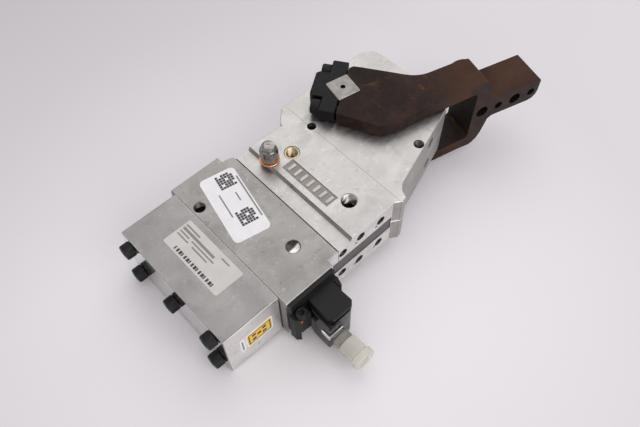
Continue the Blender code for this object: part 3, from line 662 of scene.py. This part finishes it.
def film(name, corners, thick, corner_r, material, slot, lift=0.0):
    """Thin label with rounded corners lying on a flat face; corners run round it."""
    a, b, c, d = (Vector(p) for p in corners)
    normal = (b - a).cross(d - a).normalized()
    points = []
    ring = [a, b, c, d]
    for i, here in enumerate(ring):
        back = (ring[i - 1] - here).normalized() * corner_r
        ahead = (ring[(i + 1) % 4] - here).normalized() * corner_r
        for k in range(7):
            t = k / 6 * math.pi / 2
            points.append(here + back * (1 - math.sin(t)) + ahead * (1 - math.cos(t)))
    bm = bmesh.new()
    inset = thick * 0.5
    centre = (a + b + c + d) / 4
    layers = []
    for height, shrink in ((0.0, 0.0), (thick * 0.6, 0.0), (thick, inset)):
        layers.append([bm.verts.new(p + normal * (lift + height) + (centre - p).normalized() * shrink)
                       for p in points])
    for low, high in zip(layers, layers[1:]):
        for i in range(len(points)):
            j = (i + 1) % len(points)
            bm.faces.new((low[i], low[j], high[j], high[i]))
    bm.faces.new(layers[0])
    bm.faces.new(layers[-1])
    return settle(make_object(name, bm, [material]), BODY, slot)


def print_bars(name, origin, along, across, bars, lift, material):
    """Plain printed bars on a label: (start along, start across, length, width) each.

    The print lies lift above the face, on the side that across x along points to.
    """
    origin, along, across = Vector(origin), Vector(along).normalized(), Vector(across).normalized()
    normal = across.cross(along)
    bm = bmesh.new()
    for start, offset, length, width in bars:
        base = origin + along * start + across * offset
        corners = [base, base + along * length, base + along * length + across * width,
                   base + across * width]
        low = [bm.verts.new(p + normal * lift) for p in corners]
        high = [bm.verts.new(p + normal * (lift + PRINT_THICK)) for p in corners]
        bm.faces.new(low)
        bm.faces.new(high)
        for i in range(4):
            j = (i + 1) % 4
            bm.faces.new((low[i], low[j], high[j], high[i]))
    return settle(make_object(name, bm, [material]), BODY, "black_oxide")


# ---------------------------------------------------------------- body

def rear_block():
    """Rear block with a bright rear face and milled sides."""
    def paint(face):
        if face.normal.x < -FACING:
            return MIRROR
        return MILLED if abs(face.normal.y) > FACING else REAR

    refine("rear_cylinder_block", BODY, "cast_dark", [REAR, CAST_EDGE, MIRROR, MILLED], EDGE, paint)


def front_block():
    """Front block with a seam groove along the rear block and its wider tapped hole."""
    def paint(face):
        return MILLED if abs(face.normal.y) > FACING else FRONT

    seam = tool_box((SEAM_X[0], -0.0800, STEP_TOP - SEAM_DEPTH), (SEAM_X[1], 0.0800, STEP_TOP + 0.001))
    tapped = tool_drill(TAPPED_HOLE, UP, 0.0050, 0.0080, 32)
    refine("front_cylinder_block", BODY, "cast", [FRONT, FRONT_EDGE, MILLED], EDGE, paint,
           [seam, tapped])


def pin_drills(holes):
    """Tools for the small dowel holes in the side wall."""
    return [tool_drill((x, RIGHT_Y, z), INWARD, PIN_R, PIN_DEPTH, 12) for x, z in holes]


def shells():
    """Housing halves: bright side wall with dowel holes, other walls darker as painted shade, rough label
    recess.
    """
    x0, x1, y0, y1 = RECESS

    def paint(face):
        centre = face.calc_center_median()
        level = abs(centre.z - BODY_TOP + RECESS_DEPTH) < RECESS_DEPTH / 2
        if level and x0 < centre.x < x1 and y0 < centre.y < y1:
            return CAST_FLOOR
        if abs(face.normal.z) < 0.4:
            return MILLED if face.normal.y < -0.99 and centre.x < HEAD_X else FLANK
        return CAST

    looks = [CAST, CAST_EDGE, CAST_FLOOR, MILLED, FLANK]
    line = tool_box((LINE_X[0], -0.0700, BODY_TOP - LINE_DEPTH), (LINE_X[1], 0.0680, BODY_TOP + 0.001))
    upper = pin_drills(PIN_HOLES) + [line]
    lower = pin_drills([(x, BODY_TOP - z - PIN_DROP) for x, z in PIN_HOLES])
    refine("upper_housing_shell", BODY, "cast", looks, EDGE, paint, upper)
    refine("lower_housing_shell", BODY, "cast", looks, EDGE, paint, lower)


def hole_linings():
    # Painted shade: the near-black walls and floors, the black floors of the rear and side holes and the
    # dark half of the front hole's cone stand in for the shade deep in the holes.
    lining("thread_rear", TAPPED_HOLE, DOWN, 0.0050, 0.0075, PAINTED_SHADE_BORE, BLACK)
    lining("thread_front", (-0.0575, -0.0359, STEP_TOP), DOWN, 0.0060, 0.0011, PAINTED_SHADE_BORE, CONE, cone=0.0014)
    lining("thread_port", (0.0, -0.0372, BODY_TOP), DOWN, 0.0070, 0.0150, THREAD, PAINTED_SHADE_BORE)
    lining("thread_corner", (0.0804, -0.0371, BODY_TOP), DOWN, 0.0045, 0.0150, PAINTED_SHADE_BORE, BLACK)
    lining("thread_lever", (0.0297, 0.0376, BODY_TOP), DOWN, 0.0039, 0.0056, BLACK, BLACK)
    mirrored = [(x, BODY_TOP - z) for x, z in SIDE_HOLES]
    for index, (x, z) in enumerate(SIDE_HOLES + mirrored, 1):
        lining("thread_side_%d" % index, (x, RIGHT_Y, z), INWARD, SIDE_HOLE_R, 0.0110, PAINTED_SHADE_BORE, BLACK)


# ---------------------------------------------------------------- hardware

def body_screws():
    for index, (y, z) in enumerate(REAR_SCREWS, 1):
        socket_screw("cylinder_screw_%d" % index, BODY, aim((REAR_FACE, y, z), (1, 0, 0)), M8_HEAD,
                     0.0031, 0.0740)
    y, z = REAR_MIDDLE_SCREW
    socket_screw("cylinder_screw_5", BODY, aim((REAR_FACE, y, z), (1, 0, 0)), M8_HEAD, 0.0040, 0.0062)
    for index, (x, y) in enumerate(SHELL_SCREWS, 1):
        socket_screw("shell_screw_%d" % index, BODY, aim((x, y, SHELL_SCREW_Z), UP), M6_HEAD,
                     0.0030, 0.0330)
    socket_screw("sensor_screw", BODY, aim(SENSOR_SCREW, DOWN), M5_HEAD, 0.0025, 0.0160)


def hex_plug():
    """Port plug: a hexagon with turned corners, domed on top, on a plain stem."""
    flats = hexagon(0.0066, PLUG_TURN)

    def crowned(limit):
        return lambda i, angle: min(flats(i, angle), limit)

    rings = [(0.0046, -0.0146), (0.0048, -0.0140), (0.0048, 0.0), (crowned(0.0071), 0.0),
             (crowned(0.0077), 0.0005), (crowned(0.0077), 0.0116), (crowned(0.0070), 0.0128),
             (0.0063, 0.0134), (0.0060, 0.0148), (0.0053, 0.0160), (0.0036, 0.0167), (0.0012, 0.0168),
             (0.0010, 0.0163)]
    plug = spin("hex_port_plug.shape", rings, 72, aim((*PORT, PLUG_BASE), UP), NICKEL, sharp=24.0)
    settle(plug, BODY, "nickel", "hex_port_plug")


def washer():
    section = [(0.0080, 0.0003), (0.0084, 0.0006), (0.0084, 0.0015), (0.0080, 0.0018), (0.0056, 0.0018),
               (0.0053, 0.0015), (0.0053, 0.0006), (0.0056, 0.0003)]
    ring = spin("copper_washer.shape", section, 64, aim((*PORT, BODY_TOP), UP), COPPER, closed=True)
    settle(ring, BODY, "copper", "copper_washer")


def port_insert():
    """Brass insert with its own inner thread."""
    pitch = 0.0010

    def flank(height):
        return lambda i, angle: 0.0048 + 0.00028 * math.cos(2 * math.pi * height / pitch - angle)

    heights = [0.0008 + 0.0110 * k / 55 for k in range(56)]
    rings = [(0.0065, 0.0120), (0.0065, 0.0007), (0.0062, 0.0004), (0.0056, 0.0004)]
    rings += [(flank(height), height) for height in heights]
    obj = spin("port_insert.shape", rings, 48, aim((*INSERT, BODY_TOP), DOWN), BRASS, closed=True,
               sharp=45.0)
    settle(obj, BODY, "brass", "port_insert")


# ---------------------------------------------------------------- labels

def top_corners(field, z):
    x0, x1, y0, y1 = field
    return [(x0, y0, z), (x1, y0, z), (x1, y1, z), (x0, y1, z)]


def side_corners(field, y=REAR_SIDE_Y):
    x0, x1, z0, z1 = field
    return [(x0, y, z0), (x1, y, z0), (x1, y, z1), (x0, y, z1)]


def type_plate():
    """Silver plate with plain bars for its lines and ticks for its code."""
    film("type_plate", top_corners(PLATE, BODY_TOP), 0.00018, 0.0016, SILVER_FILM, "cast_dark")
    lines = [(0.0018, 0.0036, 0.0160, 0.0014), (0.0018, 0.0064, 0.0370, 0.0022),
             (0.0020, 0.0102, 0.0110, 0.0012), (0.0160, 0.0102, 0.0260, 0.0012),
             (0.0022, 0.0132, 0.0130, 0.0012), (0.0200, 0.0132, 0.0180, 0.0012),
             (0.0430, 0.0030, 0.0090, 0.0012)]
    ticks = [(0.0110 + 0.0029 * k, 0.0212, 0.0012 + 0.0006 * ((k * 7) % 3), 0.0030) for k in range(16)]
    corner = (PLATE[1], PLATE[3], BODY_TOP)
    print_bars("type_plate_lines", corner, (0, -1, 0), (-1, 0, 0), lines, 0.00019, GREY_INK)
    print_bars("type_plate_ticks", corner, (0, -1, 0), (-1, 0, 0), ticks, 0.00019, INK)


def name_pads():
    """Row of plain raised pads in the recess of the housing."""
    for index in range(7):
        y = -0.0262 + 0.0073 * index
        bm = bmesh.new()
        bmesh.ops.create_cube(bm, size=1.0)
        for vert in bm.verts:
            vert.co = Vector((-0.0105 + 0.0082 * vert.co.x, y + 0.0028 * vert.co.y,
                              BODY_TOP - 0.00035 + 0.0005 * vert.co.z))
        bmesh.ops.bevel(bm, geom=bm.edges[:], offset=0.0002, segments=2, profile=0.6, affect="EDGES",
                        clamp_overlap=True)
        settle(make_object("name_pad_%d" % index, bm, [FLANK], 40.0), BODY, "cast")


def white_label():
    """Large blank label with plain printed blocks in place of its marks."""
    white = [(x, y, STEP_TOP) for x, y in WHITE_LABEL]
    film("white_label", white, 0.00018, 0.0042, WHITE_FILM, "cream")
    corner = Vector(white[3])
    along = Vector(white[2]) - corner
    across = Vector(white[0]) - corner
    blocks = []
    for start, offset in ((0.0030, 0.0042), (0.0412, 0.0052)):
        for row in range(6):
            for column in range(6):
                if (row * 5 + column * 3 + row * column) % 4:
                    blocks.append((start + 0.0024 * row, offset + 0.0024 * column, 0.0021, 0.0021))
    bars = [(0.0100, 0.0012, 0.0440, 0.0013), (0.0200, 0.0216, 0.0240, 0.0012),
            (0.0240, 0.0090, 0.0090, 0.0012)]
    print_bars("white_label_blocks", corner, along, across, blocks, 0.00019, INK)
    print_bars("white_label_bars", corner, along, across, bars, 0.00019, GREY_INK)


def side_label():
    """White label on the side wall: a yellow field with a plain frame and five squares."""
    film("side_label", side_corners(SIDE_LABEL), 0.00016, 0.0022, WHITE_FILM, "cream")
    film("side_label_field", side_corners(SIDE_FIELD), 0.00004, 0.0018, YELLOW_FILM, "brass",
         lift=0.00017)
    marks = [(0.0010, 0.0010, 0.0150, 0.0010), (0.0010, 0.0208, 0.0150, 0.0010),
             (0.0010, 0.0010, 0.0010, 0.0208), (0.0150, 0.0010, 0.0010, 0.0208)]
    marks += [(0.0036 + 0.0032 * step, 0.0044 + 0.0048 * row, 0.0034, 0.0034)
              for row in range(3) for step in ((1,) if row == 1 else (0, 2))]
    corner = (SIDE_FIELD[0], REAR_SIDE_Y, SIDE_FIELD[2])
    print_bars("side_label_frame", corner, UP, (1, 0, 0), marks, 0.00022, FRAME_INK)


def small_label():
    film("small_label", side_corners(SMALL_LABEL), 0.00016, 0.0010, WHITE_FILM, "cream")
    bar = (0.0024, 0.0014, 0.0150, 0.0014)
    corner = (SMALL_LABEL[0], REAR_SIDE_Y, SMALL_LABEL[2])
    print_bars("small_label_bar", corner, UP, (1, 0, 0), [bar], 0.00017, GREY_INK)


# ---------------------------------------------------------------- sensor cassette

def sensor():
    """Cassette with its strip, head and bright clip, and an orange mark under the screw."""
    refine("sensor_strip", BODY, "plastic", [STRIP], 0.0002)
    recess = tool_box((-0.0902, -0.0830, -0.0050), (-0.0790, -0.0735, 0.0150))
    refine("sensor_head", BODY, "plastic", [PLASTIC], EDGE, tools=[recess])
    prism_piece("sensor_clip.shape", CLIP_OUTLINE, 0.0200, 0.0250, CHROME, "steel", "sensor_clip")
    mark = side_corners((-0.0905, -0.0887, 0.0345, 0.0364), -0.0803)
    film("sensor_mark", mark, 0.0003, 0.0005, ORANGE, "copper")


def outline_shell(name, outline, low, high, wall, floor, material):
    """Box with a rounded bottom rim, open at the top, following an outline."""
    bm = bmesh.new()
    centre = sum((Vector(p) for p in outline), Vector((0, 0))) / len(outline)

    def ring(shrink, height):
        loop = []
        for p in outline:
            away = Vector(p) - centre
            loop.append(bm.verts.new((*(centre + away * (1 - shrink / away.length)), height)))
        return loop

    loops = [ring(0.0016, low), ring(0.0004, low + 0.0005), ring(0.0, low + 0.0014), ring(0.0, high),
             ring(wall, high), ring(wall, low + floor + 0.001), ring(wall + 0.001, low + floor)]
    for first, second in zip(loops, loops[1:]):
        for i in range(len(outline)):
            j = (i + 1) % len(outline)
            bm.faces.new((first[i], first[j], second[j], second[i]))
    bm.faces.new(loops[0])
    bm.faces.new(loops[-1])
    return make_object(name, bm, [material], 35.0)


def prism_piece(name, outline, low, high, material, slot, node):
    """Straight prism over an outline in the ground plane, with small rounded edges."""
    bm = bmesh.new()
    loops = [[bm.verts.new((x, y, z)) for x, y in outline] for z in (low, high)]
    for i in range(len(outline)):
        j = (i + 1) % len(outline)
        bm.faces.new((loops[0][i], loops[0][j], loops[1][j], loops[1][i]))
    bm.faces.new(loops[0])
    bm.faces.new(loops[1])
    bmesh.ops.bevel(bm, geom=bm.edges[:], offset=0.00012, segments=2, profile=0.6, affect="EDGES",
                    clamp_overlap=True)
    return settle(make_object(name, bm, [material], 40.0), BODY, slot, node)


def smoky_housing():
    """Smoky plug box, open under its lid, with a dark core."""
    shell = outline_shell("sensor_cover.shape", COVER_OUTLINE, -0.0008, 0.0375, 0.0018, 0.0022, SMOKE)
    settle(shell, BODY, "smoke", "sensor_cover")
    rim = [Vector(p) for p in COVER_OUTLINE]
    centre = sum(rim, Vector((0, 0))) / len(rim)
    core = [centre + (p - centre) * 0.86 for p in rim]
    block = outline_shell("sensor_core", core, 0.0100, 0.0372, 0.0060, 0.0200, PLASTIC)
    settle(block, BODY, "plastic")


def connector():
    """Round plug with its knurled collar, and the milky cap over it, along -Y."""
    matrix = aim((PLUG_AXIS[0], 0.0, PLUG_AXIS[1]), (0, -1, 0))

    def collar(i, angle):
        return 0.0074 - (0.00035 if i % 4 > 1 else 0.0)

    body = [(0.0050, 0.0980), (0.0066, 0.0988), (0.0070, 0.0993), (collar, 0.0997), (collar, 0.1062),
            (0.0069, 0.1068), (0.0058, 0.1068), (0.0058, 0.1154), (0.0054, 0.1160), (0.0046, 0.1160),
            (0.0046, 0.1110)]
    plug = spin("m12_connector.shape", body, 64, matrix, PALE_SMOKE, sharp=30.0)
    settle(plug, BODY, "smoke", "m12_connector")
    cap = [(0.0063, 0.1072), (0.0080, 0.1072), (0.0083, 0.1077), (0.0083, 0.1206), (0.0092, 0.1212),
           (0.0097, 0.1216), (0.0097, 0.1256), (0.0094, 0.1264), (0.0088, 0.1268), (0.0040, 0.1266),
           (0.0034, 0.1240), (0.0036, 0.1200), (0.0062, 0.1190), (0.0063, 0.1163)]
    cover = spin("connector_cap.shape", cap, 64, matrix, CREAM, closed=True, sharp=30.0)
    settle(cover, BODY, "cream", "connector_cap")


# ---------------------------------------------------------------- arm

def from_shaft(point):
    """Distances from the shaft along and across the tongue."""
    offset = point - Vector((SHAFT_X, SHAFT_Y, point.z))
    return offset.dot(Vector(TONGUE_WAY)), offset.dot(Vector(TONGUE_ACROSS))


def arm_paint(face):
    """Cross holes black and the inner faces of the fork dark brown, both painted shade; milled flank,
    forged skin elsewhere.
    """
    centre = face.calc_center_median()
    reach, aside = from_shaft(centre)
    in_gap = FORK_GAP[0] < centre.z < FORK_GAP[1]
    # Painted shade: the walls of the cross holes are black.
    for s, radius in CROSS_HOLES:
        if math.hypot(reach - s, centre.z - ARM_MIDDLE_Z) < radius:
            return BLACK
    # Painted shade: the web's inner face in the fork gap and the upward faces of the lower tine under the
    # upper tine are dark brown.
    if face.normal.dot(Vector(TONGUE_WAY)) < -FACING and in_gap:
        return SHADE_BROWN
    if face.normal.z > FACING and centre.z < FORK_GAP[0]:
        return SHADE_BROWN
    flank = face.normal.dot(Vector(TONGUE_ACROSS)) < -0.95
    return MACHINED if flank and aside < MILLED_BELOW and in_gap else FORGED


def web_corner(point):
    """True for the outer corners where the web meets the tines."""
    reach, aside = from_shaft(point)
    outside = point.z > FORK_GAP[1] or point.z < FORK_GAP[0]
    return outside and aside > SOFT_ABOVE and WEB_CORNERS[0] < reach < WEB_CORNERS[1]


def arm_parts():
    looks = [FORGED, FORGED_EDGE, MACHINED, BLACK, SHADE_BROWN]
    refine("fork_arm", ARM, "rust", looks, 0.0009, arm_paint, segments=3, soft=web_corner,
           soft_width=0.0040)
    refine("crank_shaft", ARM, "steel", [SHAFT], EDGE)
    for name in ("upper_clamp_cap", "lower_clamp_cap"):
        refine(name, ARM, "black_oxide", [CAP_BLACK], 0.0006)


def cap_screws():
    direction = Vector((math.cos(CLAMP_ANGLE), math.sin(CLAMP_ANGLE), 0))
    side = Vector((-direction.y, direction.x, 0))
    index = 1
    for middle in CAP_SCREW_Z:
        for v in CAP_SCREW_SIDES:
            origin = Vector((SHAFT_X, SHAFT_Y, middle)) + side * v + direction * CAP_SCREW_BACK
            socket_screw("cap_screw_%d" % index, ARM, aim(origin, direction), M8_HEAD, 0.0040, 0.0405)
            index += 1


# ---------------------------------------------------------------- studio

def inner_nodes():
    """Give every CAD node a procedural material; those inside the body keep their CAD shape."""
    for name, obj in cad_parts.items():
        obj.data.materials.clear()
        obj.data.materials.append(INNER_LOOKS.get(name, STEEL))


def paper_floor():
    bm = bmesh.new()
    bmesh.ops.create_grid(bm, x_segments=24, y_segments=24, size=FLOOR_HALF)
    for vert in bm.verts:
        vert.co.z = FLOOR_SLOPE * (vert.co.x - FLOOR_X) - FLOOR_DROP
    floor = make_object("floor", bm, [floor_material()])


def sky():
    world = bpy.data.worlds.new("studio")
    world.use_nodes = True
    background = world.node_tree.nodes["Background"]
    background.inputs["Color"].default_value = SKY_COLOR
    background.inputs["Strength"].default_value = SKY_STRENGTH
    bpy.context.scene.world = world


def lights():
    for name, at, size, power in LIGHTS:
        light = bpy.data.lights.new(name, "AREA")
        light.size = size
        light.energy = power
        obj = bpy.data.objects.new(name, light)
        obj.location = at
        obj.rotation_euler = (Vector(LIGHT_TARGET) - Vector(at)).to_track_quat("-Z", "Y").to_euler()
        bpy.context.scene.collection.objects.link(obj)


def camera():
    data = bpy.data.cameras.new("camera")
    data.lens = CAMERA_LENS
    data.sensor_width = CAMERA_SENSOR
    data.clip_start, data.clip_end = CAMERA_RANGE
    obj = bpy.data.objects.new("camera", data)
    axes = (Vector(CAMERA_RIGHT), -Vector(CAMERA_DOWN), -Vector(CAMERA_FORWARD))
    obj.matrix_world = Matrix.Translation(CAMERA_AT) @ Matrix(axes).transposed().to_4x4()
    bpy.context.scene.collection.objects.link(obj)
    bpy.context.scene.camera = obj


camera()
paper_floor()
sky()
lights()
inner_nodes()
rear_block()
front_block()
shells()
hole_linings()
body_screws()
hex_plug()
washer()
port_insert()
type_plate()
name_pads()
white_label()
side_label()
small_label()
sensor()
smoky_housing()
connector()
arm_parts()
cap_screws()

bpy.context.scene.view_settings.view_transform = "Standard"
bpy.context.view_layer.update()
